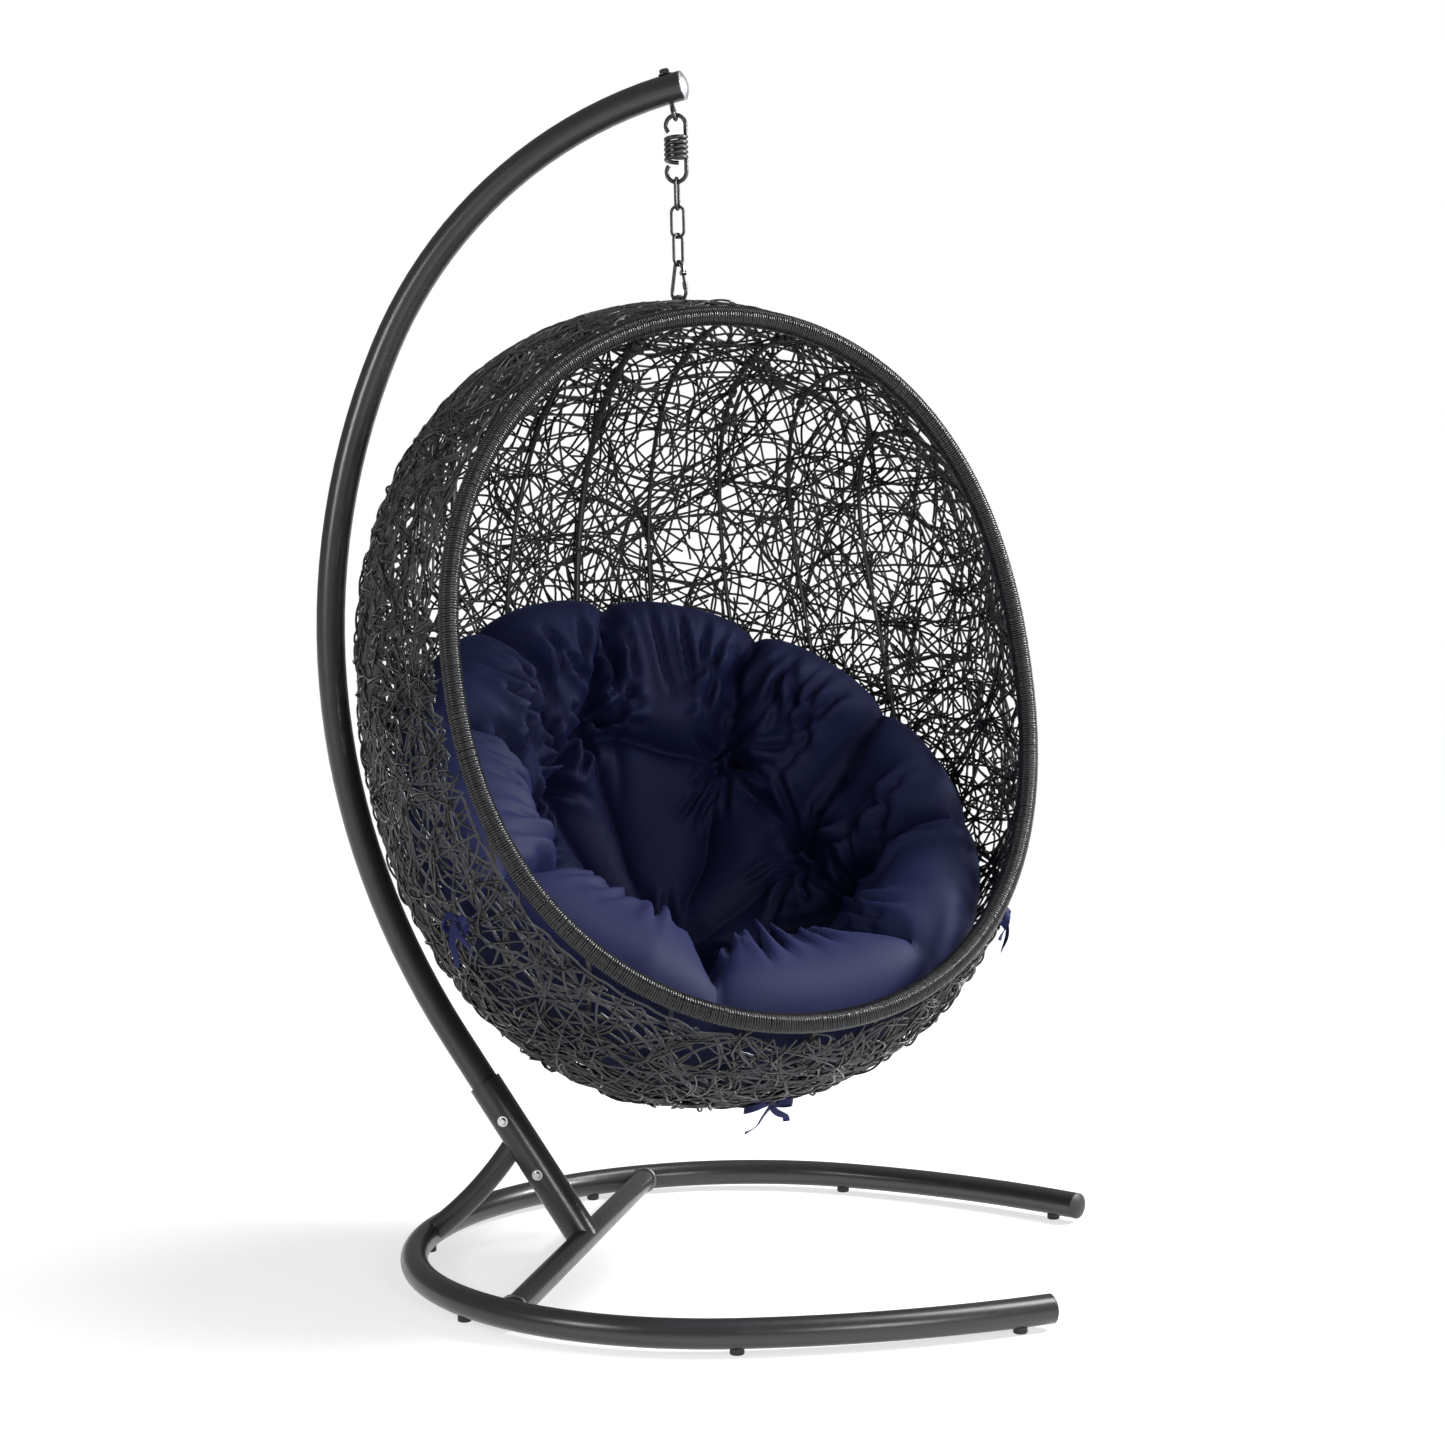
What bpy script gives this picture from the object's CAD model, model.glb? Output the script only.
import logging
import math
from collections.abc import Sequence
from dataclasses import dataclass, field
from enum import Enum

import bpy
import numpy as np
from mathutils import Matrix, Vector


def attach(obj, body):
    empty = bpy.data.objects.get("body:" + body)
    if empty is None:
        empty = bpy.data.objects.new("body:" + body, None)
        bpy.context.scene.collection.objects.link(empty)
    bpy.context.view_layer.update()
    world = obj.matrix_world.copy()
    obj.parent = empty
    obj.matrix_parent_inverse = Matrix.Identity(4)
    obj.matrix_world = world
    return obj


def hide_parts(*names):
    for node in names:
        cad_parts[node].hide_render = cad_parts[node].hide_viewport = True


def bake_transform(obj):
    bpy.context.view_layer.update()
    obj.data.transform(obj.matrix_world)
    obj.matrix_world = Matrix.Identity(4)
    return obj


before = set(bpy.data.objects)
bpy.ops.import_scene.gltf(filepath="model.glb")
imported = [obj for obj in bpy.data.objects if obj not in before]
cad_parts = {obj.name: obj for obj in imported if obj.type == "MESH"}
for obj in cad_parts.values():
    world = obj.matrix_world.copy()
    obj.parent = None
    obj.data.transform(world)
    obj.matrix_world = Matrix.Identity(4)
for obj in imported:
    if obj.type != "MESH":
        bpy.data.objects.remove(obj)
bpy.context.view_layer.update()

# Dresses the hanging egg chair. Metres, +Z up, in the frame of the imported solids.

log = logging.getLogger("egg_chair")
TAU = 2 * math.pi
RGB = tuple[float, float, float]
Point = tuple[float, float, float]


# ---------------------------------------------------------------- shader maths
class Signal:
    """A node socket that takes part in Python expressions."""

    def __init__(self, recipe: "Recipe", socket: bpy.types.NodeSocket) -> None:
        """Wraps one output socket of a recipe's tree."""
        self.recipe = recipe
        self.socket = socket

    def _math(self, operation: str, first: object, second: object) -> "Signal":
        """Adds one Math node.

        Args:
            operation: The node's operation.
            first: Its first value or link.
            second: Its second value or link.

        Returns:
            The node's result.
        """
        return self.recipe.node("ShaderNodeMath", {"operation": operation}, {0: first, 1: second})

    def __add__(self, other: object) -> "Signal":
        """Adds."""
        return self._math("ADD", self, other)

    def __sub__(self, other: object) -> "Signal":
        """Subtracts."""
        return self._math("SUBTRACT", self, other)

    def __mul__(self, other: object) -> "Signal":
        """Multiplies."""
        return self._math("MULTIPLY", self, other)


class Recipe:
    """One material and the node tree behind it."""

    def __init__(self, name: str) -> None:
        """Starts an empty material with a Principled shader."""
        self.material = bpy.data.materials.new(name)
        self.material.use_nodes = True
        self.tree = self.material.node_tree
        self.tree.nodes.clear()
        self.shader = self.tree.nodes.new("ShaderNodeBsdfPrincipled")
        output = self.tree.nodes.new("ShaderNodeOutputMaterial")
        self.tree.links.new(self.shader.outputs[0], output.inputs[0])

    def node(self, kind: str, settings: dict | None = None, inputs: dict | None = None,
             output: int | str = 0) -> Signal:
        """Adds a node.

        Args:
            kind: The node's type.
            settings: Its properties, set first; "stops" holds a ramp's places and colours.
            inputs: Values or links of its sockets, by name or number.
            output: The socket that is wanted.

        Returns:
            That socket.
        """
        made = self.tree.nodes.new(kind)
        for key, value in (settings or {}).items():
            if key == "stops":
                self._set_stops(made.color_ramp, value)
            else:
                setattr(made, key, value)
        for key, value in (inputs or {}).items():
            self._feed(made.inputs[key], value)
        return Signal(self, made.outputs[output])

    def _feed(self, socket: bpy.types.NodeSocket, value: object) -> None:
        """Links or sets one input socket."""
        if isinstance(value, Signal):
            self.tree.links.new(value.socket, socket)
        elif socket.type == "RGBA" and len(value) == 3:
            socket.default_value = (*value, 1.0)
        else:
            socket.default_value = value

    @staticmethod
    def _set_stops(ramp: bpy.types.ColorRamp, stops: Sequence[tuple[float, float | RGB]]) -> None:
        """Replaces a ramp's stops."""
        while len(ramp.elements) > 1:
            ramp.elements.remove(ramp.elements[-1])
        for number, (place, value) in enumerate(stops):
            stop = ramp.elements[0] if number == 0 else ramp.elements.new(place)
            stop.position = place
            colour = (value, value, value) if isinstance(value, (int, float)) else value
            stop.color = (*colour, 1.0)

    def place(self) -> Signal:
        """Object coordinates."""
        return self.node("ShaderNodeTexCoord", output="Object")

    def noise(self, scale: float, detail: float = 2.0, roughness: float = 0.5,
              vector: Signal | None = None) -> Signal:
        """A noise value about 0.5.

        Args:
            scale: Its scale, per metre.
            detail: Its octaves.
            roughness: How strong the finer octaves are.
            vector: Coordinates; Object coordinates when left out.

        Returns:
            The noise.
        """
        where = vector or self.place()
        inputs = {"Vector": where, "Scale": scale, "Detail": detail, "Roughness": roughness}
        return self.node("ShaderNodeTexNoise", None, inputs, "Fac")

    def ramp(self, value: Signal, *stops: tuple[float, float | RGB]) -> Signal:
        """A colour ramp over a value."""
        return self.node("ShaderNodeValToRGB", {"stops": stops}, {"Fac": value})

    def grey(self, colour: Signal) -> Signal:
        """The value of a grey colour."""
        return self.node("ShaderNodeSeparateColor", None, {0: colour})

    def blend(self, share: Signal | float, first: object, second: object) -> Signal:
        """Mixes two colours."""
        return self.node("ShaderNodeMix", {"data_type": "RGBA"}, {0: share, 6: first, 7: second}, 2)

    def bump(self, height: Signal, strength: float, distance: float) -> Signal:
        """A bumped normal.

        Args:
            height: The height signal.
            strength: The node's strength.
            distance: How many metres a height of one stands for.

        Returns:
            The normal.
        """
        inputs = {"Strength": strength, "Distance": distance, "Height": height}
        return self.node("ShaderNodeBump", None, inputs)

    def finish(self, **sockets: object) -> bpy.types.Material:
        """Feeds the shader; a socket's name is written with underscores.

        Args:
            sockets: Values or links.

        Returns:
            The material.
        """
        for key, value in sockets.items():
            self._feed(self.shader.inputs[key.replace("_", " ")], value)
        return self.material


# ---------------------------------------------------------------- finishes
@dataclass(frozen=True)
class PowderCoat:
    """Charcoal powder coat on steel tube: faint orange peel and a little dust."""

    name: str = "charcoal_powder_coat"
    dark: RGB = (0.0150, 0.0156, 0.0168)
    light: RGB = (0.0235, 0.0243, 0.0260)
    roughness: float = 0.30

    def build(self) -> bpy.types.Material:
        """Makes the material."""
        recipe = Recipe(self.name)
        cloud = recipe.noise(9.0, 4.0, 0.6)
        peel = recipe.noise(620.0, 2.0, 0.5)
        scuff = recipe.ramp(recipe.noise(46.0, 6.0, 0.7), (0.50, 0.0), (0.74, 1.0))
        colour = recipe.blend(cloud, self.dark, self.light)
        rough = recipe.grey(scuff) * 0.10 + (cloud * 0.08 + self.roughness - 0.04)
        return recipe.finish(Base_Color=colour, Roughness=rough, Normal=recipe.bump(peel, 0.10, 0.0006),
                             Coat_Weight=0.15, Coat_Roughness=0.22, Specular_IOR_Level=0.5)


@dataclass(frozen=True)
class ResinStrand:
    """Moulded resin strand: charcoal, satin, finely drawn along its length."""

    name: str
    dark: RGB = (0.0030, 0.0032, 0.0038)
    light: RGB = (0.0100, 0.0104, 0.0120)
    roughness: float = 0.16

    def build(self) -> bpy.types.Material:
        """Makes the material."""
        recipe = Recipe(self.name)
        cloud = recipe.noise(34.0, 3.0, 0.6)
        grain = recipe.noise(1500.0, 2.0, 0.6)
        wear = recipe.ramp(recipe.noise(120.0, 3.0, 0.6), (0.45, 0.0), (0.72, 1.0))
        shade = recipe.ramp(cloud, (0.28, self.dark), (0.72, self.light))
        colour = recipe.blend(recipe.grey(wear) * 0.35, shade,
                              tuple(2.0 * value for value in self.light))
        rough = grain * 0.14 + (cloud * 0.12 + self.roughness - 0.13)
        return recipe.finish(Base_Color=colour, Roughness=rough, Normal=recipe.bump(grain, 0.22, 0.0004),
                             Specular_IOR_Level=0.36)


@dataclass(frozen=True)
class OutdoorCloth:
    """Woven navy polyester cloth, seen through its own UV map in metres."""

    name: str = "navy_outdoor_cloth"
    shade: RGB = (0.0046, 0.0062, 0.0300)
    lit: RGB = (0.0092, 0.0125, 0.0560)
    thread: float = 0.0011
    uv_map: str = "weave"

    def build(self) -> bpy.types.Material:
        """Makes the material."""
        recipe = Recipe(self.name)
        uv = recipe.node("ShaderNodeUVMap", {"uv_map": self.uv_map})
        flat = recipe.node("ShaderNodeSeparateXYZ", None, {0: uv}, "X")
        tall = Signal(recipe, flat.socket.node.outputs["Y"])
        turns = TAU / self.thread
        warp = recipe.node("ShaderNodeMath", {"operation": "SINE"}, {0: flat * turns})
        weft = recipe.node("ShaderNodeMath", {"operation": "SINE"}, {0: tall * turns})
        weave = warp * weft * 0.5 + 0.5
        slub = recipe.noise(240.0, 3.0, 0.6)
        cloud = recipe.noise(6.5, 3.0, 0.55)
        colour = recipe.blend(cloud * 0.7 + weave * 0.3, self.shade, self.lit)
        height = weave * 0.5 + slub * 0.5
        return recipe.finish(Base_Color=colour, Roughness=cloud * 0.10 + 0.60,
                             Normal=recipe.bump(height, 0.30, 0.0003),
                             Sheen_Weight=0.04, Sheen_Roughness=0.35,
                             Sheen_Tint=(0.30, 0.40, 1.0, 1.0), Specular_IOR_Level=0.16)


@dataclass(frozen=True)
class ZincSteel:
    """Bright zinc plated steel with fine turning marks."""

    name: str = "zinc_plated_steel"
    tone: RGB = (0.66, 0.67, 0.69)
    roughness: float = 0.26

    def build(self) -> bpy.types.Material:
        """Makes the material."""
        recipe = Recipe(self.name)
        blot = recipe.noise(170.0, 4.0, 0.65)
        grain = recipe.noise(2600.0, 2.0, 0.5)
        colour = recipe.blend(blot, tuple(0.72 * value for value in self.tone), self.tone)
        return recipe.finish(Base_Color=colour, Metallic=1.0, Roughness=blot * 0.22 + (self.roughness - 0.1),
                             Normal=recipe.bump(grain, 0.12, 0.0002))


@dataclass(frozen=True)
class MouldedPlastic:
    """Matt black moulded plastic with a fine spark texture."""

    name: str = "moulded_black_plastic"
    dark: RGB = (0.010, 0.010, 0.011)
    light: RGB = (0.022, 0.022, 0.024)
    roughness: float = 0.52

    def build(self) -> bpy.types.Material:
        """Makes the material."""
        recipe = Recipe(self.name)
        cloud = recipe.noise(60.0, 3.0, 0.6)
        spark = recipe.noise(1900.0, 2.0, 0.5)
        return recipe.finish(Base_Color=recipe.blend(cloud, self.dark, self.light),
                             Roughness=cloud * 0.12 + (self.roughness - 0.06),
                             Normal=recipe.bump(spark, 0.25, 0.0003))


class Finish(Enum):
    """The finishes of the chair's pieces."""

    COAT = PowderCoat()
    HARDWARE = PowderCoat("blackened_hardware", (0.008, 0.008, 0.009), (0.016, 0.016, 0.018), 0.36)
    STRAND = ResinStrand("resin_strand")
    STRAND_WORN = ResinStrand("resin_strand_worn", (0.0045, 0.0048, 0.0056), (0.0150, 0.0156, 0.0176), 0.21)
    WINDING = ResinStrand("resin_winding", (0.0070, 0.0074, 0.0084), (0.0165, 0.0172, 0.0192), 0.22)
    CLOTH = OutdoorCloth()
    TAPE = OutdoorCloth("navy_tape", (0.0080, 0.0100, 0.0500), (0.0130, 0.0165, 0.0750), 0.0009)
    ZINC = ZincSteel()
    SATIN_CAP = ZincSteel("satin_silver_cap", (0.55, 0.56, 0.58), 0.36)
    WELD = ZincSteel("weld_bead", (0.20, 0.20, 0.21), 0.42)
    PLASTIC = MouldedPlastic()

    def material(self) -> bpy.types.Material:
        """The finish's material, made once."""
        return bpy.data.materials.get(self.value.name) or self.value.build()


# ---------------------------------------------------------------- helpers for pieces
def select_only(piece: bpy.types.Object) -> None:
    """Deselects everything, then selects one object and makes it active."""
    bpy.ops.object.select_all(action="DESELECT")
    piece.select_set(True)
    bpy.context.view_layer.objects.active = piece


def new_mesh(name: str, points: np.ndarray, faces: Sequence[Sequence[int]]) -> bpy.types.Object:
    """Makes a mesh object from points and faces.

    Args:
        name: The piece's name.
        points: Its vertices, one row each.
        faces: Vertex numbers of each face.

    Returns:
        The object, at the origin.
    """
    mesh = bpy.data.meshes.new(name)
    mesh.from_pydata([tuple(point) for point in points], [], [tuple(face) for face in faces])
    piece = bpy.data.objects.new(name, mesh)
    bpy.context.collection.objects.link(piece)
    return piece


def strands_to_mesh(name: str, lines: Sequence[np.ndarray], radius: float, rounds: int) -> bpy.types.Object:
    """Sweeps a round section along many lines and turns the result into one mesh.

    Args:
        name: The piece's name.
        lines: The lines' points.
        radius: The section's radius.
        rounds: The curve's bevel resolution.

    Returns:
        The mesh object.
    """
    curve = bpy.data.curves.new(name, "CURVE")
    curve.dimensions = "3D"
    curve.bevel_depth = radius
    curve.bevel_resolution = rounds
    curve.use_fill_caps = True
    for line in lines:
        spline = curve.splines.new("POLY")
        spline.points.add(len(line) - 1)
        spline.points.foreach_set("co", np.c_[line, np.ones(len(line))].astype(np.float32).ravel())
        spline.use_smooth = True
    piece = bpy.data.objects.new(name, curve)
    bpy.context.collection.objects.link(piece)
    select_only(piece)
    bpy.ops.object.convert(target="MESH")
    return bpy.context.view_layer.objects.active


def dress(piece: bpy.types.Object, finish: Finish, body: str) -> bpy.types.Object:
    """Gives a piece its finish and its record slot, and lets it ride on a body."""
    piece.data.materials.clear()
    piece.data.materials.append(finish.material())
    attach(piece, body)
    log.info("piece %s rides on %s", piece.name, body)
    return piece


# ---------------------------------------------------------------- the egg
@dataclass(frozen=True)
class Egg:
    """The basket's egg: its shape, its lean and its place on the hang line."""

    half_width: float = 0.547
    half_depth: float = 0.496
    up: float = 0.633
    down: float = 0.6695
    power: float = 2.2
    opening_ahead: float = 0.2785
    opening_bow: float = 0.0758
    opening_bow_at: float = 0.509
    turn: float = math.radians(-52.7)
    lean: float = math.radians(14.3)
    centre: Point = (-0.031421, -0.034197, 0.954539)

    def axes(self) -> np.ndarray:
        """The egg's side, back and up directions, one column each."""
        side = np.array([math.cos(self.turn), math.sin(self.turn), 0.0])
        up = np.array([-math.sin(self.turn) * math.sin(self.lean), math.cos(self.turn) * math.sin(self.lean),
                       math.cos(self.lean)])
        return np.stack([side, np.cross(up, side), up], axis=1)

    def to_world(self, points: np.ndarray) -> np.ndarray:
        """Turns points of the egg's own frame into places in the scene."""
        return points @ self.axes().T + np.array(self.centre)

    def front(self, side: np.ndarray) -> np.ndarray:
        """How far back the opening's edge lies at a place across the egg."""
        return self.opening_bow * (side / self.opening_bow_at) ** 2 - self.opening_ahead

    def _halves(self, points: np.ndarray,
                inset: float | np.ndarray) -> tuple[np.ndarray, np.ndarray, np.ndarray]:
        """The egg's half sizes that hold at each point."""
        tall = np.where(points[:, 2] > 0, self.up, self.down) - inset
        return self.half_width - inset, self.half_depth - inset, tall

    def settle(self, points: np.ndarray, inset: float | np.ndarray = 0.0) -> np.ndarray:
        """Moves points along their rays from the centre onto the egg.

        Args:
            points: Points of the egg's own frame.
            inset: How far inside the egg the wanted surface lies.

        Returns:
            The moved points.
        """
        wide, deep, tall = self._halves(points, inset)
        level = np.hypot(points[:, 0] / wide, points[:, 1] / deep) ** self.power
        level = level + np.abs(points[:, 2] / tall) ** self.power
        return points / (level ** (1 / self.power))[:, None]

    def outward(self, points: np.ndarray) -> np.ndarray:
        """Unit normals of the egg at points on it."""
        wide, deep, tall = self._halves(points, 0.0)
        flat = np.hypot(points[:, 0] / wide, points[:, 1] / deep) ** (self.power - 2)
        rise = np.abs(points[:, 2] / tall) ** (self.power - 1) / tall * np.sign(points[:, 2])
        normal = np.stack([flat * points[:, 0] / wide ** 2, flat * points[:, 1] / deep ** 2, rise], axis=1)
        return normal / np.linalg.norm(normal, axis=1)[:, None]

    def rim_point(self, angle: float) -> np.ndarray:
        """A point of the opening's edge; angle 0 is its top."""
        near, far = 0.0, 1.5
        point = np.zeros(3)
        for _ in range(34):
            size = (near + far) / 2
            side = size * self.half_width * math.sin(angle)
            rise = size * (self.up if math.cos(angle) > 0 else self.down) * math.cos(angle)
            point = np.array([side, float(self.front(np.array(side))), rise])
            tall = self.up if rise > 0 else self.down
            level = math.hypot(side / self.half_width, point[1] / self.half_depth) ** self.power
            if level + abs(rise / tall) ** self.power > 1:
                far = size
            else:
                near = size
        return point

    def rib_point(self, number: float, angle: float, inset: float, step: float = 16.0,
                  pinch: float = 0.33) -> np.ndarray:
        """A point of an upright rib; angle 0 is the middle of the back and a quarter turn is its top."""
        widest = (self.half_width - inset) * math.sin(math.radians(step * number))
        near, far = 0.0, 1.5
        point = np.zeros(3)
        for _ in range(34):
            size = (near + far) / 2
            share = size * math.sin(angle)
            point = np.array([widest * (1 - pinch * share ** 2), size * self.half_depth * math.cos(angle),
                              share * (self.up if share > 0 else self.down)])
            wide, deep, tall = self._halves(point[None, :], inset)
            level = math.hypot(point[0] / wide, point[1] / deep) ** self.power
            if level + abs(point[2] / tall[0]) ** self.power > 1:
                far = size
            else:
                near = size
        return point


EGG = Egg()


# ---------------------------------------------------------------- stand
@dataclass
class Stand:
    """The floor stand: its solids keep their shapes and get their finishes."""

    finishes: dict[str, Finish] = field(default_factory=lambda: {
        "base_ring": Finish.COAT, "crossbar": Finish.COAT, "rear_brace": Finish.COAT,
        "post_socket": Finish.COAT, "curved_pole": Finish.COAT, "weld_beads": Finish.WELD,
        "ring_end_caps": Finish.PLASTIC,
        "floor_feet": Finish.PLASTIC, "clamp_bolts": Finish.ZINC, "clamp_washers": Finish.ZINC,
        "clamp_nuts": Finish.ZINC, "pole_end_cap": Finish.SATIN_CAP, "eye_bolt": Finish.HARDWARE,
        "eye_bolt_washer": Finish.HARDWARE, "eye_bolt_nut": Finish.HARDWARE})

    def dress(self) -> None:
        """Assigns the finishes to the stand's solids."""
        for node, finish in self.finishes.items():
            assign(node, finish)


def assign(node: str, finish: Finish) -> None:
    """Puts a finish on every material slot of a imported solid."""
    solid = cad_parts[node]
    for slot in solid.material_slots:
        slot.material = finish.material()
    if not solid.material_slots:
        solid.data.materials.append(finish.material())
    log.info("solid %s is finished in %s", node, finish.name)


# ---------------------------------------------------------------- hanging gear
@dataclass
class HangingGear:
    """Spring, chain and snap hook."""

    spring_top: Point = (0.0, -0.01026, 1.8627)
    spring_foot: Point = (0.0, -0.01026, 1.8222)
    solids: tuple[str, ...] = ("chain_link_1", "chain_link_2", "chain_link_3", "snap_hook", "snap_gate",
                               "hanging_loop")

    def dress(self) -> None:
        """Finishes the links and hook and builds the stretching spring."""
        for node in self.solids:
            assign(node, Finish.HARDWARE)
        assign("gate_pin", Finish.ZINC)
        self.build_spring()

    def build_spring(self) -> None:
        """Copies the spring's solid, closes its mesh and lets it stretch between its two hooks."""
        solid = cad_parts["suspension_spring"]
        piece = bpy.data.objects.new("coil_spring", solid.data.copy())
        bpy.context.collection.objects.link(piece)
        select_only(piece)
        bpy.ops.object.mode_set(mode="EDIT")
        bpy.ops.mesh.select_all(action="SELECT")
        bpy.ops.mesh.remove_doubles(threshold=0.00001)
        bpy.ops.object.mode_set(mode="OBJECT")
        bpy.ops.object.shade_smooth_by_angle(angle=math.radians(50))
        piece.data.materials.clear()
        piece.data.materials.append(Finish.HARDWARE.material())
        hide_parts("suspension_spring")
        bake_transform(piece)
        log.info("piece %s stretches between spring and link_1", piece.name)


# ---------------------------------------------------------------- basket: weave
@dataclass
class Weave:
    """Random resin strands over the egg, from rib to rib and back from the rim."""

    body: str = "basket"
    radius: float = 0.0021
    spacing: float = 0.0120
    rim_room: float = 0.020
    strands: int = 860
    steps: int = 70
    cell: float = 0.018
    look_ahead: float = 0.030
    steer: float = 16.0
    hesitation: float = 1.3
    kinks: float = 0.035
    map_cells: int = 90
    curls: int = 1500
    curls_below: float = 0.10
    wraps: int = 190
    seed: int = 41
    batches: int = 6

    def __post_init__(self) -> None:
        """Seeds the draws and clears the map of what is covered."""
        self.draw = np.random.default_rng(self.seed)
        self.covered = np.zeros((self.map_cells,) * 3)

    def scatter(self, count: int) -> np.ndarray:
        """Evenly random places on the egg behind the opening."""
        found: list[np.ndarray] = []
        while sum(len(part) for part in found) < count:
            points = EGG.settle(self.draw.normal(size=(count, 3)))
            found.append(points[points[:, 1] > EGG.front(points[:, 0]) + self.rim_room + 0.004])
        return np.vstack(found)[:count]

    def cells(self, points: np.ndarray) -> tuple[np.ndarray, ...]:
        """The cells of the cover map that hold some points."""
        return tuple((points / self.cell + self.map_cells / 2).astype(int).T)

    def rows(self) -> list[np.ndarray]:
        """All strands: smooth arcs that bend towards thin places and turn back at the rim."""
        here = self.scatter(self.strands)
        way = self.draw.normal(size=here.shape) * np.array([1.0, 1.0, 0.8])
        curve = self.draw.normal(0, 5.0, len(here))
        track = [here]
        for _ in range(self.steps):
            normal = EGG.outward(here)
            way = way - normal * np.sum(way * normal, axis=1)[:, None]
            way /= np.linalg.norm(way, axis=1)[:, None]
            across = np.cross(normal, way)
            scores = []
            options = (-self.steer, 0.0, self.steer)
            for option in options:
                probe = EGG.settle(here + self.look_ahead * (way + across * option * self.look_ahead / 2))
                doubt = self.draw.uniform(0, self.hesitation, len(here))
                scores.append(self.covered[self.cells(probe)] + doubt + 0.5 * (option != 0))
            best = np.array(options)[np.argmin(scores, axis=0)]
            curve = 0.80 * curve + 0.20 * best + self.draw.normal(0, 2.2, len(here))
            turns = self.draw.random(len(here)) < self.kinks
            kink = np.where(turns, self.draw.normal(0, 0.8, len(here)), 0.0)
            angle = (curve * self.spacing + kink)[:, None]
            way = way * np.cos(angle) + across * np.sin(angle)
            ahead = EGG.settle(here + way * self.spacing)
            outside = ahead[:, 1] < EGG.front(ahead[:, 0]) + self.rim_room + 0.003
            way[outside, 1] = np.abs(way[outside, 1]) + 0.15
            ahead = np.where(outside[:, None], EGG.settle(here + way * self.spacing), ahead)
            np.add.at(self.covered, self.cells(ahead), 1.0)
            here = ahead
            track.append(here)
        return list(np.stack(track, axis=1))

    def lay(self, line: np.ndarray, lift: float, swing: float) -> np.ndarray:
        """Lays a strand on the egg at its own height, with a slow rise and fall.

        Args:
            line: The strand's samples near the egg.
            lift: Its mean height over the egg.
            swing: How far it rises and falls.

        Returns:
            The strand in the scene's frame.
        """
        on_egg = EGG.settle(line)
        edge = EGG.front(on_egg[:, 0]) + self.rim_room
        on_egg[:, 1] = np.maximum(on_egg[:, 1], edge)
        on_egg = EGG.settle(on_egg)
        travel = np.arange(len(line)) * self.spacing
        phase, wave = self.draw.uniform(0, TAU), self.draw.uniform(0.05, 0.12)
        height = lift + swing * np.sin(TAU * travel / wave + phase)
        return EGG.to_world(on_egg + EGG.outward(on_egg) * height[:, None])

    def curl(self) -> np.ndarray:
        """A short loose loop that stands proud of the weave's outside."""
        start = next(place for place in self.scatter(40)
                     if place[2] < self.curls_below + self.draw.normal(0, 0.22) or abs(place[0]) > 0.42)
        normal = EGG.outward(start[None, :])[0]
        way = np.cross(normal, self.draw.normal(size=3))
        way /= np.linalg.norm(way)
        bend = self.draw.uniform(-30, 30)
        steps = self.draw.integers(5, 11)
        points = [start]
        for _ in range(steps):
            angle = bend * 0.009 + self.draw.normal(0, 0.10)
            way = way * math.cos(angle) + np.cross(normal, way) * math.sin(angle)
            points.append(points[-1] + way * 0.009)
        line = EGG.settle(np.array(points))
        edge = EGG.front(line[:, 0]) + self.rim_room
        line[:, 1] = np.maximum(line[:, 1], edge)
        line = EGG.settle(line)
        rise = np.sin(np.linspace(0, math.pi, len(line))) * self.draw.uniform(0.004, 0.011) + 0.0030
        return EGG.to_world(line + EGG.outward(line) * rise[:, None])

    def wrap(self) -> np.ndarray:
        """A strand's turns round an upright rib, where it is tied to it."""
        number = int(self.draw.integers(-4, 5))
        rib_radius = 0.006 if number == 0 else 0.004
        inset = 0.0018 + rib_radius
        while True:
            angle = self.draw.uniform(-1.9, 1.9)
            here = EGG.rib_point(number, angle, inset)
            if here[1] > EGG.front(here[0]) + 0.05:
                break
        ahead = EGG.rib_point(number, angle + 0.01, inset) - here
        ahead /= np.linalg.norm(ahead)
        out = EGG.outward(here[None, :])[0]
        across = np.cross(ahead, out)
        turns = self.draw.uniform(1.2, 2.6)
        share = np.linspace(0, 1, int(turns * 10))
        circle = rib_radius + self.radius + 0.0002
        phase = self.draw.uniform(0, TAU) + TAU * turns * share
        line = here + circle * (np.cos(phase)[:, None] * out + np.sin(phase)[:, None] * across)
        return EGG.to_world(line + ahead * ((share - 0.5) * turns * 0.0046)[:, None])

    def build(self) -> None:
        """Builds the strands in batches, each with its own tone."""
        lines = []
        for row in self.rows():
            lift = self.draw.uniform(0.0022, 0.0062)
            lines.append(self.lay(row, lift, self.draw.uniform(0.0002, 0.0013)))
        log.info("strands %d, %.0f m in all", len(lines), len(lines) * self.steps * self.spacing)
        for batch in range(self.batches):
            piece = strands_to_mesh(f"woven_strands_{batch + 1}", lines[batch::self.batches], self.radius, 1)
            finish = Finish.STRAND_WORN if batch % 2 else Finish.STRAND
            dress(piece, finish, self.body)
        curls = [self.curl() for _ in range(self.curls)]
        piece = strands_to_mesh("woven_curls", curls, self.radius * 0.92, 1)
        dress(piece, Finish.STRAND_WORN, self.body)
        wraps = [self.wrap() for _ in range(self.wraps)]
        piece = strands_to_mesh("rib_wraps", wraps, self.radius * 0.9, 1)
        dress(piece, Finish.STRAND, self.body)
        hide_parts("woven_shell")


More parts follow.
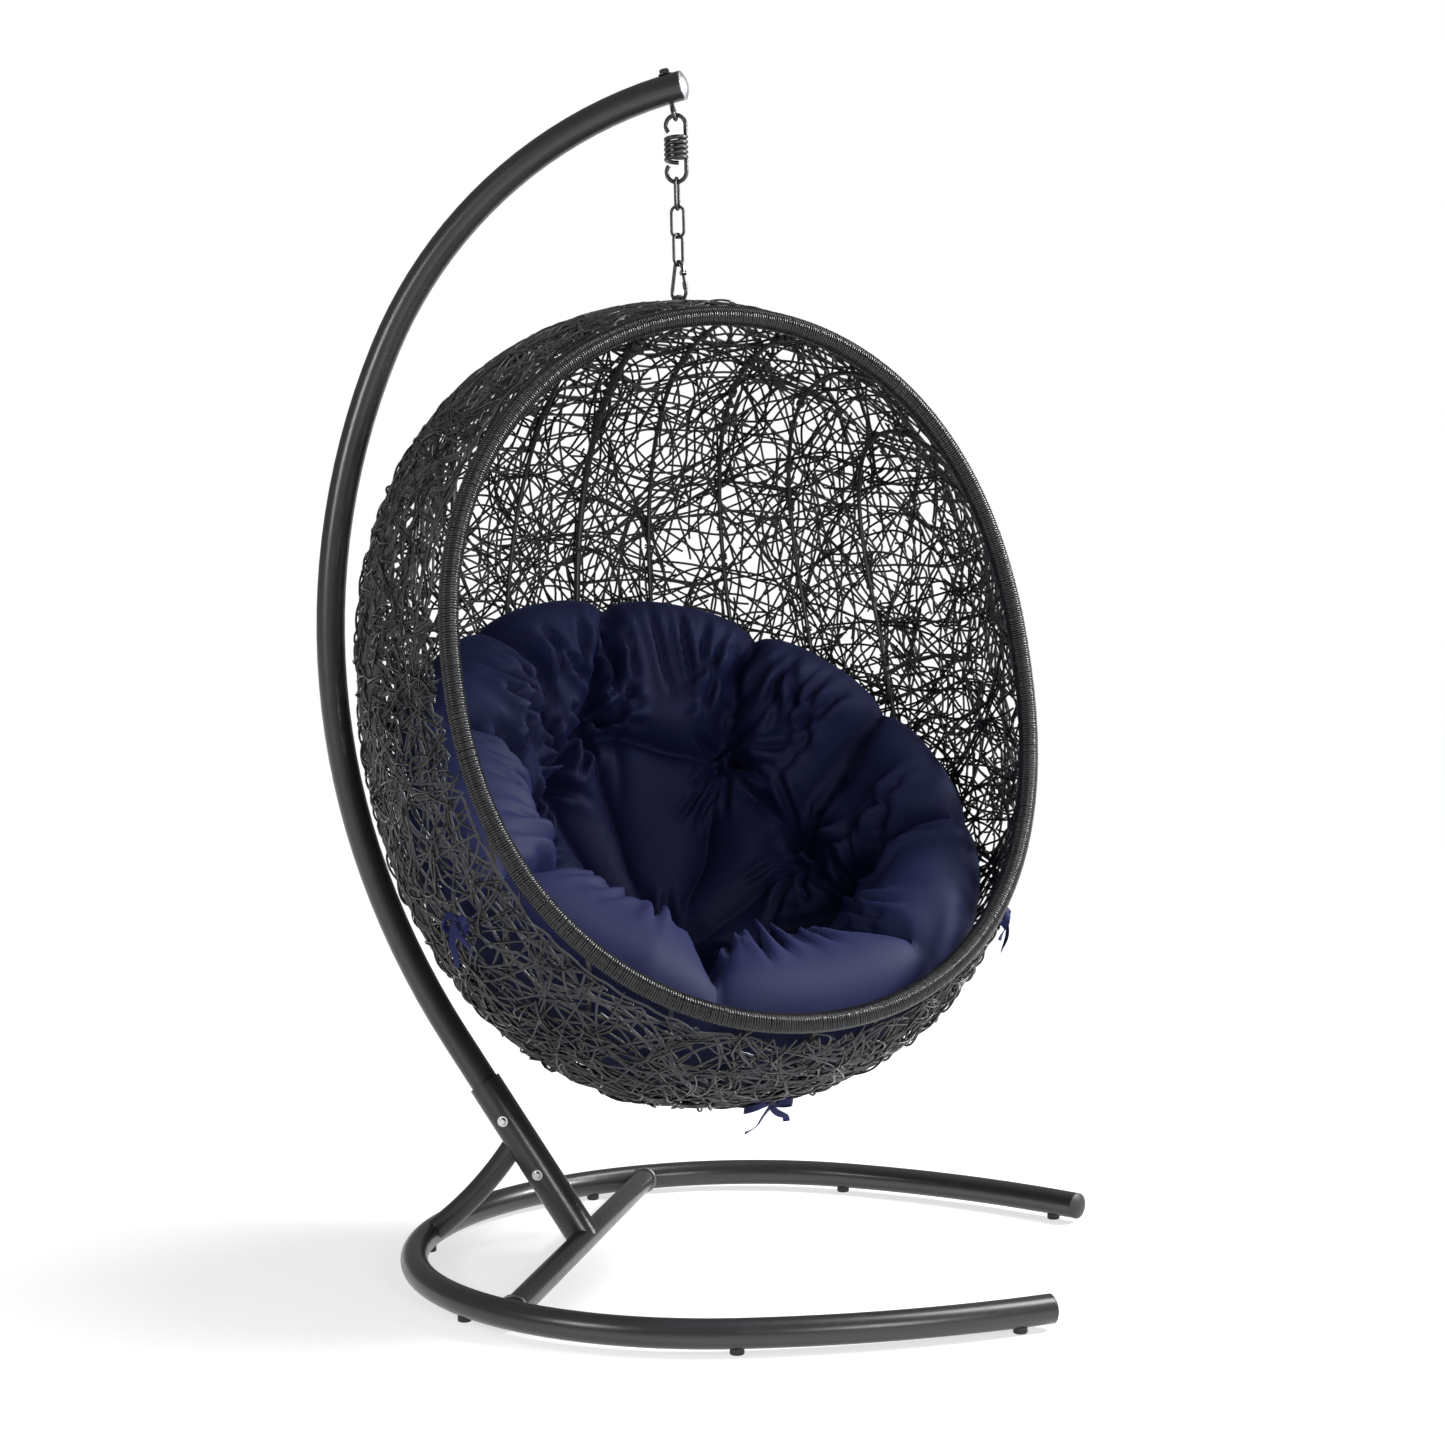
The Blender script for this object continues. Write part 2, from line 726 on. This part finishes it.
# ---------------------------------------------------------------- basket: rim
@dataclass
class RimWinding:
    """One resin strand wound round the rim hoop, turn against turn."""

    body: str = "basket"
    centre_radius: float = 0.01385
    strand_radius: float = 0.00215
    pitch: float = 0.0040
    samples: int = 20
    parts: int = 3
    seed: int = 7

    def rim_line(self, count: int = 1440) -> tuple[np.ndarray, float]:
        """The rim's centreline as evenly spaced points, and its length."""
        rough = np.array([EGG.rim_point(TAU * step / count) for step in range(count)])
        loop = np.vstack([rough, rough[:1]])
        run = np.concatenate([[0], np.cumsum(np.linalg.norm(np.diff(loop, axis=0), axis=1))])
        even = np.linspace(0, run[-1], count + 1)
        return np.stack([np.interp(even, run, loop[:, axis]) for axis in range(3)], axis=1), float(run[-1])

    def build(self) -> None:
        """Winds the strand and splits it into a few pieces."""
        draw = np.random.default_rng(self.seed)
        loop, length = self.rim_line()
        turns = int(length / self.pitch)
        total = turns * self.samples
        share = np.arange(total + 1) / total
        spot = share * (len(loop) - 1)
        centre = np.stack([np.interp(spot, np.arange(len(loop)), loop[:, axis]) for axis in range(3)], axis=1)
        ahead = np.gradient(loop, axis=0)
        ahead[0] = ahead[-1] = (ahead[0] + ahead[-1]) / 2
        ahead = np.stack([np.interp(spot, np.arange(len(loop)), ahead[:, axis]) for axis in range(3)], axis=1)
        ahead /= np.linalg.norm(ahead, axis=1)[:, None]
        out = centre - ahead * np.sum(centre * ahead, axis=1)[:, None]
        out /= np.linalg.norm(out, axis=1)[:, None]
        across = np.cross(ahead, out)
        angle = TAU * turns * share
        jitter = np.repeat(draw.normal(0, 0.00012, turns + 1), self.samples)[:total + 1]
        radius = self.centre_radius + jitter
        slide = np.repeat(draw.normal(0, 0.00022, turns + 1), self.samples)[:total + 1]
        helix = centre + ahead * slide[:, None]
        helix = helix + radius[:, None] * (np.cos(angle)[:, None] * out + np.sin(angle)[:, None] * across)
        world = EGG.to_world(helix)
        cuts = np.linspace(0, total, self.parts + 1).astype(int)
        for number, (start, end) in enumerate(zip(cuts, cuts[1:])):
            line = world[start:end + 1]
            piece = strands_to_mesh(f"rim_winding_{number + 1}", [line], self.strand_radius, 1)
            dress(piece, Finish.WINDING, self.body)
            if number == 0:
                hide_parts("rim_wrap")


# ---------------------------------------------------------------- basket: cushion
@dataclass(frozen=True)
class Tuft:
    """A stitch that pulls the pad in, at its place on the pad's plan."""

    bearing: float
    reach: float
    depth: float = 0.80

    def plan(self) -> np.ndarray:
        """Its place on the flat plan."""
        angle = math.radians(self.bearing)
        return self.reach * np.array([math.cos(angle), math.sin(angle)])


@dataclass
class Cushion:
    """A large round tufted pad that lines the lower egg up to the rim."""

    body: str = "basket"
    pole: Point = (0.0, 0.737, -0.676)
    plan_scale: float = 0.48
    edge: float = math.radians(75)
    bottom_inset: float = 0.0205
    rim_room: float = 0.021
    top_rows: int = 92
    edge_rows: int = 26
    under_rows: int = 34
    rays: int = 312
    crease_width: float = 0.085
    edge_half: float = 0.062
    roll_extra: float = 0.042
    roll_bearing: float = 142
    roll_spread: float = 104
    middle_half: float = 0.044
    seed: int = 19
    tufts: tuple[Tuft, ...] = (
        Tuft(45, 0.07, 0.62), Tuft(355, 0.325), Tuft(22, 0.370), Tuft(62, 0.270), Tuft(104, 0.225),
        Tuft(152, 0.215), Tuft(198, 0.270), Tuft(236, 0.325), Tuft(264, 0.385), Tuft(314, 0.375))
    spokes: tuple[float, ...] = (346, 20, 62, 104, 150, 198, 238, 273, 310)

    def axes(self) -> tuple[np.ndarray, np.ndarray, np.ndarray]:
        """The pad's middle, side and upward directions on the egg."""
        middle = np.array(self.pole) / np.linalg.norm(self.pole)
        side = np.array([1.0, 0.0, 0.0])
        return middle, side, np.cross(middle, side)

    def lobes(self, bearings: np.ndarray) -> np.ndarray:
        """How full the pad's edge is at bearings: 0 in a notch, 1 in the middle of a lobe."""
        degrees = np.degrees(bearings) % 360
        stops = np.sort(np.array(self.spokes) % 360)
        stops = np.concatenate([[stops[-1] - 360], stops, [stops[0] + 360]])
        after = np.searchsorted(stops, degrees, side="right")
        low, high = stops[after - 1], stops[np.minimum(after, len(stops) - 1)]
        across = np.abs(2 * (degrees - low) / (high - low) - 1)
        return (1 - across ** 3.2) ** 0.55

    def edge_angle(self, bearings: np.ndarray) -> np.ndarray:
        """How far the pad reaches from its middle along each bearing, stopping short of the rim."""
        middle, side, rise = self.axes()
        near, far = np.zeros_like(bearings), np.full_like(bearings, self.edge)
        way = np.cos(bearings)[:, None] * side + np.sin(bearings)[:, None] * rise
        for _ in range(30):
            test = (near + far) / 2
            ray = np.cos(test)[:, None] * middle + np.sin(test)[:, None] * way
            point = EGG.settle(ray, self.bottom_inset)
            inside = point[:, 1] > EGG.front(point[:, 0]) + self.rim_room
            near, far = np.where(inside, test, near), np.where(inside, far, test)
        return near * (0.945 + 0.055 * self.lobes(bearings))

    @staticmethod
    def to_line(points: np.ndarray, start: np.ndarray, end: np.ndarray) -> tuple[np.ndarray, np.ndarray]:
        """Distance from a line between two places, and where along it, for points of the plan."""
        run = end - start
        share = np.clip(((points - start) @ run) / (run @ run), 0, 1)
        return np.linalg.norm(points - start - share[:, None] * run, axis=1), share

    def creases(self) -> list[tuple[np.ndarray, np.ndarray, float, float]]:
        """The folds between tufts and out past the edge: start, end, depth at the start and at the end."""
        ring = self.tufts[1:]
        lines = []
        for tuft, spoke in zip(ring, self.spokes):
            out = Tuft(spoke, 0.70).plan()
            lines.append((tuft.plan(), out, 0.78, 0.68))
            lines.append((self.tufts[0].plan(), tuft.plan(), 0.30, 0.60))
        for first, second in zip(ring, ring[1:] + ring[:1]):
            lines.append((first.plan(), second.plan(), 0.52, 0.52))
        return lines

    def wrinkles(self) -> list[tuple[np.ndarray, np.ndarray, float, float]]:
        """Fine folds that fan out from the tufts and run in from the edge: start, end, depth, width."""
        draw = np.random.default_rng(self.seed)
        lines = []
        for tuft in self.tufts:
            for _ in range(13):
                angle = draw.uniform(0, TAU)
                way = np.array([math.cos(angle), math.sin(angle)])
                start = tuft.plan() + 0.018 * way
                lines.append((start, start + way * draw.uniform(0.06, 0.15), draw.uniform(0.07, 0.17),
                              draw.uniform(0.006, 0.012)))
        for _ in range(80):
            bearing = draw.uniform(0, 360)
            start = Tuft(bearing, draw.uniform(0.56, 0.66)).plan()
            end = Tuft(bearing + draw.normal(0, 7), draw.uniform(0.38, 0.50)).plan()
            lines.append((start, end, draw.uniform(0.06, 0.15), draw.uniform(0.008, 0.016)))
        return lines

    def fullness(self, plan: np.ndarray) -> np.ndarray:
        """How full the pad is at places of its plan: 1 in a free panel, less in folds and at tufts."""
        warp = np.stack([wave_sum(plan * 7.0, 3), wave_sum(plan * 7.0, 11)], axis=1) * 0.012
        bent = plan + warp
        keep = np.ones(len(plan))
        for start, end, first, last in self.creases():
            away, along = self.to_line(bent, start, end)
            depth = first + (last - first) * along
            pillow = np.sqrt(np.clip(1 - (1 - np.clip(away / self.crease_width, 0, 1)) ** 2, 0, 1))
            keep = keep * (1 - depth * (1 - pillow))
        for tuft in self.tufts:
            away = np.linalg.norm(bent - tuft.plan(), axis=1)
            keep = keep * (1 - tuft.depth * np.exp(-(away / 0.032) ** 1.4))
        ripple = np.stack([wave_sum(plan * 22.0, 5), wave_sum(plan * 22.0, 6)], axis=1) * 0.003
        bent = plan + 0.6 * warp + ripple
        for start, end, depth, width in self.wrinkles():
            away, along = self.to_line(bent, start, end)
            fade = np.sin(np.clip(along * 0.85 + 0.15, 0, 1) * math.pi) ** 0.8
            keep = keep + fade * depth * (0.9 * np.exp(-((away - 1.7 * width) / (1.2 * width)) ** 2)
                                          - np.exp(-(away / width) ** 2))
        swell = wave_sum(plan * np.array([8.0, 11.0]), 31)
        return np.clip(keep + 0.045 * swell, 0.08, 1.25)

    def build(self) -> None:
        """Builds the pad as one closed form with a cloth UV map."""
        middle, side, rise = self.axes()
        bearing = np.arange(self.rays) * TAU / self.rays
        limit = self.edge_angle(bearing)
        lobe = self.lobes(bearing)
        from_front = (np.degrees(bearing) - self.roll_bearing + 180) % 360 - 180
        roll = self.roll_extra * np.exp(-(from_front / self.roll_spread) ** 4)
        half_edge = (self.edge_half + roll) * (0.68 + 0.32 * lobe)
        turn_in = half_edge / (limit * 0.54)
        rows = []
        for share in np.linspace(0, 1, self.top_rows + 1)[1:]:
            rows.append((share * (1 - turn_in), np.ones(self.rays)))
        for share in np.linspace(0, 1, self.edge_rows + 1)[1:-1]:
            angle = math.pi / 2 - math.pi * share
            rows.append((1 - turn_in + turn_in * math.cos(angle), np.full(self.rays, math.sin(angle))))
        for share in np.linspace(1, 0, self.under_rows + 1)[:-1]:
            rows.append((share * (1 - turn_in), -np.ones(self.rays)))
        share = np.array([row[0] for row in rows]).ravel()
        height = np.array([row[1] for row in rows]).ravel()
        count = len(rows)
        flat_bearing = np.tile(bearing, count)
        angle = share * np.tile(limit, count)
        way = np.cos(flat_bearing)[:, None] * side + np.sin(flat_bearing)[:, None] * rise
        ray = np.cos(angle)[:, None] * middle + np.sin(angle)[:, None] * way
        spokes = np.stack([np.cos(flat_bearing), np.sin(flat_bearing)], axis=1)
        plan = (angle * self.plan_scale)[:, None] * spokes
        full = self.fullness(plan)
        edge_half = np.tile(half_edge, count)
        swell = np.clip(share / (1 - np.tile(turn_in, count)), 0, 1)
        climb = np.clip((swell - 0.34) / 0.40, 0, 1)
        half = self.middle_half + (edge_half - self.middle_half) * climb ** 2 * (3 - 2 * climb)
        upper = (height + 1) / 2
        depth = half + height * half
        depth = np.where(height > 0, half + height * half * (2 * full - 1), depth)
        depth = np.maximum(depth, 0.004 * upper)
        under = EGG.settle(ray, self.bottom_inset)
        points = EGG.to_world(under - EGG.outward(under) * depth[:, None])
        top_row, under_row = points[:self.rays], points[-self.rays:]
        points = np.vstack([points, top_row.mean(axis=0), under_row.mean(axis=0)])
        faces = []
        for row in range(count - 1):
            for number in range(self.rays):
                first, second = row * self.rays + number, row * self.rays + (number + 1) % self.rays
                faces.append((first, first + self.rays, second + self.rays, second))
        total, last = count * self.rays, (count - 1) * self.rays
        for number in range(self.rays):
            after = (number + 1) % self.rays
            faces.append((total, number, after))
            faces.append((total + 1, last + after, last + number))
        piece = new_mesh("seat_pad", points, faces)
        self.lay_cloth(piece, np.vstack([plan, np.zeros((2, 2))]))
        select_only(piece)
        bpy.ops.object.mode_set(mode="EDIT")
        bpy.ops.mesh.select_all(action="SELECT")
        bpy.ops.mesh.normals_make_consistent(inside=False)
        bpy.ops.object.mode_set(mode="OBJECT")
        bpy.ops.object.shade_smooth()
        dress(piece, Finish.CLOTH, self.body)
        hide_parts("seat_cushion")

    @staticmethod
    def lay_cloth(piece: bpy.types.Object, plan: np.ndarray) -> None:
        """Writes the pad's plan, in metres, as its cloth UV map."""
        layer = piece.data.uv_layers.new(name="weave")
        corners = np.empty(len(piece.data.loops), dtype=np.int32)
        piece.data.loops.foreach_get("vertex_index", corners)
        layer.data.foreach_set("uv", plan[corners].astype(np.float32).ravel())


def wave_sum(plan: np.ndarray, seed: int, count: int = 9) -> np.ndarray:
    """A smooth random height over a plan: a sum of seeded plane waves, about -1 to 1."""
    draw = np.random.default_rng(seed)
    total = np.zeros(len(plan))
    for _ in range(count):
        way = draw.normal(size=2)
        total += np.sin(plan @ way * draw.uniform(0.8, 2.2) + draw.uniform(0, TAU))
    return total / math.sqrt(count) * 0.8


# ---------------------------------------------------------------- basket: ties
@dataclass(frozen=True)
class TieBow:
    """A fabric tape of the cushion, tied in a bow on the outside of the weave."""

    node: str
    rib: float
    angle: float
    loop: float = 0.034
    tails: tuple[float, float] = (0.070, 0.056)
    spread: tuple[float, float] = (0.20, -0.45)
    tape_width: float = 0.011
    tape_thickness: float = 0.0014
    stand_off: float = 0.0085
    section: tuple[tuple[float, float], ...] = (
        (-1, -1), (-0.5, -1), (0.5, -1), (1, -1), (1, 1), (0.5, 1), (-0.5, 1), (-1, 1))
    body: str = "basket"

    def frame(self) -> tuple[np.ndarray, np.ndarray, np.ndarray, np.ndarray]:
        """The knot's place and the side, down and outward directions there, in the scene's frame."""
        local = EGG.rib_point(self.rib, math.radians(self.angle), 0.0)
        out = EGG.axes() @ EGG.outward(local[None, :])[0]
        side = np.cross(out, np.array([0.0, 0.0, 1.0]))
        side /= np.linalg.norm(side)
        knot = EGG.to_world(local[None, :])[0] + out * self.stand_off
        down = np.cross(out, side)
        return knot, side, down if down[2] < 0 else -down, out

    def lines(self) -> list[tuple[np.ndarray, np.ndarray]]:
        """The tape's centrelines, each with the direction of its width at every point."""
        knot, side, down, out = self.frame()
        fall = np.array([0.0, 0.0, -1.0]) * 0.75 + down * 0.25
        tapes = []
        for sign, size in ((1, 1.0), (-1, 0.86)):
            share = np.linspace(0.04, 0.96, 22)[:, None]
            reach = self.loop * size * np.sin(math.pi * share)
            height = 0.42 * self.loop * np.sin(TAU * share) + 0.30 * reach
            line = knot + sign * reach * side + height * down + 0.007 * np.sin(math.pi * share) * out
            width = down * 0.55 + out * (0.83 + 0.2 * sign * np.cos(math.pi * share))
            tapes.append((line, width))
        for number, (length, spread) in enumerate(zip(self.tails, self.spread)):
            share = np.linspace(0.02, 1.0, 20)[:, None]
            sway = spread * length * share + 0.004 * np.sin(share * 6 + number)
            curl = 0.003 + 0.006 * np.sin(share * 3.4 + number)
            line = knot + share * length * fall + sway * side + curl * out
            width = side + out * 0.5 * np.sin(share * 3.2 + 1.3 * number) - 0.35 * spread * down
            tapes.append((line, width))
        turn = np.linspace(0, 2.2 * TAU, 34)[:, None]
        ring = 0.0052 + 0.0004 * turn / TAU
        line = knot + ring * (np.cos(turn) * side + 0.8 * np.sin(turn) * out)
        line = line + (turn / TAU - 1.1) * 0.0022 * down
        tapes.append((line, np.repeat((down + 0.25 * side)[None, :], len(turn), axis=0)))
        return tapes

    def build(self) -> None:
        """Builds the tapes as one mesh with a cloth UV map."""
        points, faces, cloth = [], [], []
        for line, width in self.lines():
            start = len(points)
            ahead = np.gradient(line, axis=0)
            ahead /= np.linalg.norm(ahead, axis=1)[:, None]
            width = width - ahead * np.sum(width * ahead, axis=1)[:, None]
            width /= np.linalg.norm(width, axis=1)[:, None]
            thick = np.cross(ahead, width) * self.tape_thickness / 2
            run = np.concatenate([[0], np.cumsum(np.linalg.norm(np.diff(line, axis=0), axis=1))])
            for place, across, up, along in zip(line, width * self.tape_width / 2, thick, run):
                for first, second in self.section:
                    edge = 0.72 if abs(first) == 1 else 1.0
                    points.append(place + first * across + second * edge * up)
                    cloth.append((along, first * self.tape_width / 2))
            for row in range(len(line) - 1):
                for corner in range(8):
                    low, after = start + 8 * row, (corner + 1) % 8
                    faces.append((low + corner, low + after, low + 8 + after, low + 8 + corner))
            faces.append(tuple(start + corner for corner in range(7, -1, -1)))
            faces.append(tuple(start + 8 * (len(line) - 1) + corner for corner in range(8)))
        piece = new_mesh(f"bow_{self.node.rsplit('_', 1)[1]}", np.array(points), faces)
        Cushion.lay_cloth(piece, np.array(cloth))
        select_only(piece)
        bpy.ops.object.shade_smooth_by_angle(angle=math.radians(40))
        dress(piece, Finish.TAPE, self.body)
        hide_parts(self.node)


# ---------------------------------------------------------------- basket
@dataclass
class Basket:
    """The woven basket with its rim, weave and cushion."""

    weave: Weave = field(default_factory=Weave)
    winding: RimWinding = field(default_factory=RimWinding)
    cushion: Cushion = field(default_factory=Cushion)
    bows: tuple[TieBow, ...] = (
        TieBow("cushion_ties_left", -4.56, -105.6, 0.030, (0.074, 0.060)),
        TieBow("cushion_ties_right", 3.7, -118.0, 0.030, (0.062, 0.050), (0.30, -0.35)),
        TieBow("cushion_ties_bottom", 0.3, -92.0, 0.044, (0.056, 0.050), (0.85, -0.75)))

    def build(self) -> None:
        """Builds and dresses every part of the basket."""
        for node in ("rim_hoop", "spine_rib", "frame_ribs"):
            assign(node, Finish.COAT)
        self.weave.build()
        self.winding.build()
        self.cushion.build()
        for bow in self.bows:
            bow.build()


# ---------------------------------------------------------------- studio
@dataclass
class Studio:
    """A pale floor, soft lights and the camera."""

    camera_place: Point = (-4.1264, -0.90266, 1.1054)
    yaw: float = math.radians(11.427)
    pitch: float = math.radians(2.791)
    roll: float = math.radians(-1.147)
    lens: float = 63.56

    def build(self) -> None:
        """Sets up the floor, the world, the lights and the camera."""
        self.lay_floor()
        self.light_world()
        self.hang_lights()
        self.set_camera()

    def lay_floor(self) -> None:
        """A wide pale floor."""
        bpy.ops.object.select_all(action="DESELECT")
        bpy.ops.mesh.primitive_plane_add(size=60)
        floor = bpy.context.view_layer.objects.active
        floor.name = "studio_floor"
        recipe = Recipe("studio_floor")
        colour = recipe.blend(recipe.noise(1.2), (0.43, 0.43, 0.43), (0.45, 0.45, 0.45))
        floor.data.materials.append(recipe.finish(Base_Color=colour, Roughness=0.8, Specular_IOR_Level=0.1,
                                                  Emission_Color=(1.0, 1.0, 1.0), Emission_Strength=0.66))

    def light_world(self) -> None:
        """A white surround that lights the scene only weakly."""
        world = bpy.data.worlds.new("studio_surround")
        bpy.context.scene.world = world
        world.use_nodes = True
        tree = world.node_tree
        back = tree.nodes["Background"]
        back.inputs[0].default_value = (1.0, 1.0, 1.0, 1.0)
        back.inputs[1].default_value = 0.22
        seen = tree.nodes.new("ShaderNodeBackground")
        seen.inputs[0].default_value = (1.0, 1.0, 1.0, 1.0)
        path, mix = tree.nodes.new("ShaderNodeLightPath"), tree.nodes.new("ShaderNodeMixShader")
        tree.links.new(path.outputs["Is Camera Ray"], mix.inputs[0])
        tree.links.new(back.outputs[0], mix.inputs[1])
        tree.links.new(seen.outputs[0], mix.inputs[2])
        tree.links.new(mix.outputs[0], tree.nodes["World Output"].inputs[0])

    def hang_lights(self) -> None:
        """An even overhead light and three soft boxes."""
        lamp = bpy.data.lights.new("overhead", "SUN")
        lamp.energy = 2.0
        lamp.angle = math.radians(26)
        holder = bpy.data.objects.new("overhead", lamp)
        bpy.context.collection.objects.link(holder)
        holder.rotation_euler = Vector((-0.15, 0.50, -1.0)).to_track_quat("-Z", "Y").to_euler()
        self.add_light("left_box", (-2.6, 2.1, 1.9), 0.8, 34)
        self.add_light("front_box", (-3.2, -2.4, 1.5), 0.9, 42)
        self.add_light("right_box", (0.9, -3.4, 2.7), 0.9, 280)

    @staticmethod
    def add_light(name: str, place: Point, size: float, power: float, aim: Point = (0.0, 0.0, 0.9)) -> None:
        """Hangs one square soft box that looks at a place."""
        lamp = bpy.data.lights.new(name, "AREA")
        lamp.size = size
        lamp.energy = power
        holder = bpy.data.objects.new(name, lamp)
        bpy.context.collection.objects.link(holder)
        holder.location = place
        holder.rotation_euler = (Vector(aim) - Vector(place)).to_track_quat("-Z", "Y").to_euler()

    def set_camera(self) -> None:
        """Places the camera by its yaw, pitch and roll."""
        ahead = Vector((math.cos(self.yaw) * math.cos(self.pitch), math.sin(self.yaw) * math.cos(self.pitch),
                        -math.sin(self.pitch)))
        level = Vector((math.sin(self.yaw), -math.cos(self.yaw), 0))
        raised = level.cross(ahead)
        right = math.cos(self.roll) * level + math.sin(self.roll) * raised
        up = -math.sin(self.roll) * level + math.cos(self.roll) * raised
        camera = bpy.data.cameras.new("camera")
        camera.lens = self.lens
        camera.sensor_width = 36.0
        camera.clip_end = 100
        holder = bpy.data.objects.new("camera", camera)
        bpy.context.collection.objects.link(holder)
        turn = Matrix((right, up, -ahead)).transposed().to_4x4()
        holder.matrix_world = Matrix.Translation(self.camera_place) @ turn
        bpy.context.scene.camera = holder
        bpy.context.scene.view_settings.view_transform = "Standard"


def main() -> None:
    """Builds the whole scene, piece by piece."""
    logging.basicConfig(level=logging.INFO, format="%(name)s: %(message)s")
    Studio().build()
    Stand().dress()
    HangingGear().dress()
    Basket().build()


if __name__ == "__main__":
    main()
